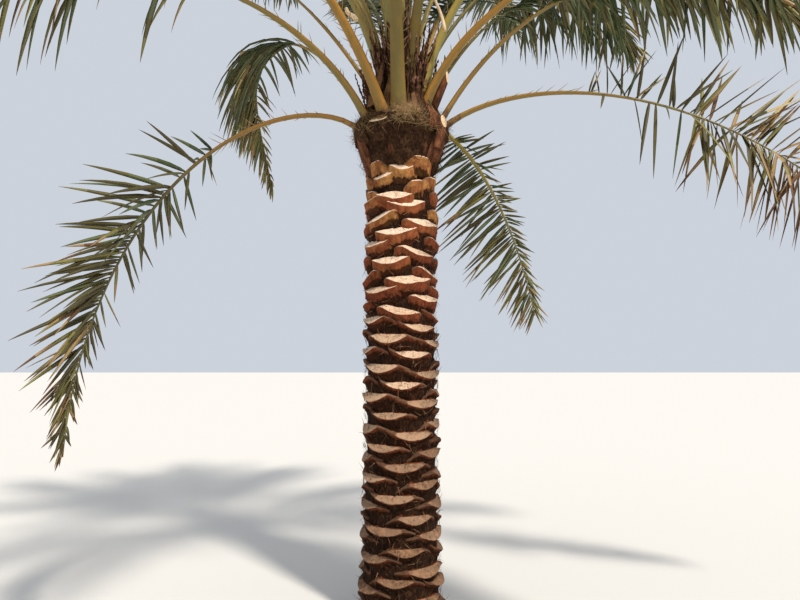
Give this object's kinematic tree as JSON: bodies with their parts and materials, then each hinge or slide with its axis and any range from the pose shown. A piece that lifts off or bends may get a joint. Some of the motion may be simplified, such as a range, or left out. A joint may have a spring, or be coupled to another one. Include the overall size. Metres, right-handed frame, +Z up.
{
  "type": "date palm tree",
  "caption": "Date palm tree with a trunk clad in cut leaf bases, a fibrous crown and arching feather fronds, rooted in the ground.",
  "frame": {"origin": "centre of the flat cut under the trunk at ground level", "axes": "+Z up along the trunk; the side that the picture shows faces -Y, with +X to the picture's right"},
  "size_m": [5.4935, 5.5538, 5.7546],
  "materials": {
    "trunk_bark": "rough cut leaf bases with pale cut faces and dark fibre between them",
    "crown_fibre": "matted dry fibre",
    "frond_stalk": "smooth waxy stalk, olive green with orange edges",
    "frond_leaf": "matt leaflets, green with dry tan tips"
  },
  "bodies": {
    "root": {"trunk": "trunk_bark", "crown_foot": "crown_fibre", "heart": "crown_fibre", "spear_leaf": "frond_leaf", "frond_left_low_stalk": "frond_stalk", "frond_left_low_tip": "frond_leaf", "frond_right_droop_stalk": "frond_stalk", "frond_right_droop_tip": "frond_leaf", "frond_right_low_stalk": "frond_stalk", "frond_right_low_tip": "frond_leaf", "frond_left_front_stalk": "frond_stalk", "frond_left_front_tip": "frond_leaf", "frond_back_arch_stalk": "frond_stalk", "frond_back_arch_tip": "frond_leaf", "frond_right_mid_stalk": "frond_stalk", "frond_right_mid_tip": "frond_leaf", "frond_center_stalk": "frond_stalk", "frond_center_tip": "frond_leaf", "frond_front_left_stalk": "frond_stalk", "frond_front_left_tip": "frond_leaf", "frond_right_front_stalk": "frond_stalk", "frond_right_front_tip": "frond_leaf", "frond_left_back_stalk": "frond_stalk", "frond_left_back_tip": "frond_leaf", "frond_left_mid_stalk": "frond_stalk", "frond_left_mid_tip": "frond_leaf", "frond_right_back_stalk": "frond_stalk", "frond_right_back_tip": "frond_leaf", "frond_inner_left_stalk": "frond_stalk", "frond_inner_left_tip": "frond_leaf", "frond_inner_right_stalk": "frond_stalk", "frond_inner_right_tip": "frond_leaf", "frond_back_left_stalk": "frond_stalk", "frond_back_left_tip": "frond_leaf", "frond_back_right_stalk": "frond_stalk", "frond_back_right_tip": "frond_leaf", "frond_inner_side_stalk": "frond_stalk", "frond_inner_side_tip": "frond_leaf", "frond_inner_front_stalk": "frond_stalk", "frond_inner_front_tip": "frond_leaf", "frond_high_left_stalk": "frond_stalk", "frond_high_left_tip": "frond_leaf", "frond_high_side_stalk": "frond_stalk", "frond_high_side_tip": "frond_leaf", "frond_high_front_stalk": "frond_stalk", "frond_high_front_tip": "frond_leaf", "frond_high_back_stalk": "frond_stalk", "frond_high_back_tip": "frond_leaf", "frond_high_right_stalk": "frond_stalk", "frond_high_right_tip": "frond_leaf", "frond_young_left_stalk": "frond_stalk", "frond_young_left_tip": "frond_leaf", "frond_young_back_stalk": "frond_stalk", "frond_young_back_tip": "frond_leaf", "frond_young_right_stalk": "frond_stalk", "frond_young_right_tip": "frond_leaf", "frond_young_front_stalk": "frond_stalk", "frond_young_front_tip": "frond_leaf"}
  },
  "joints": []
}
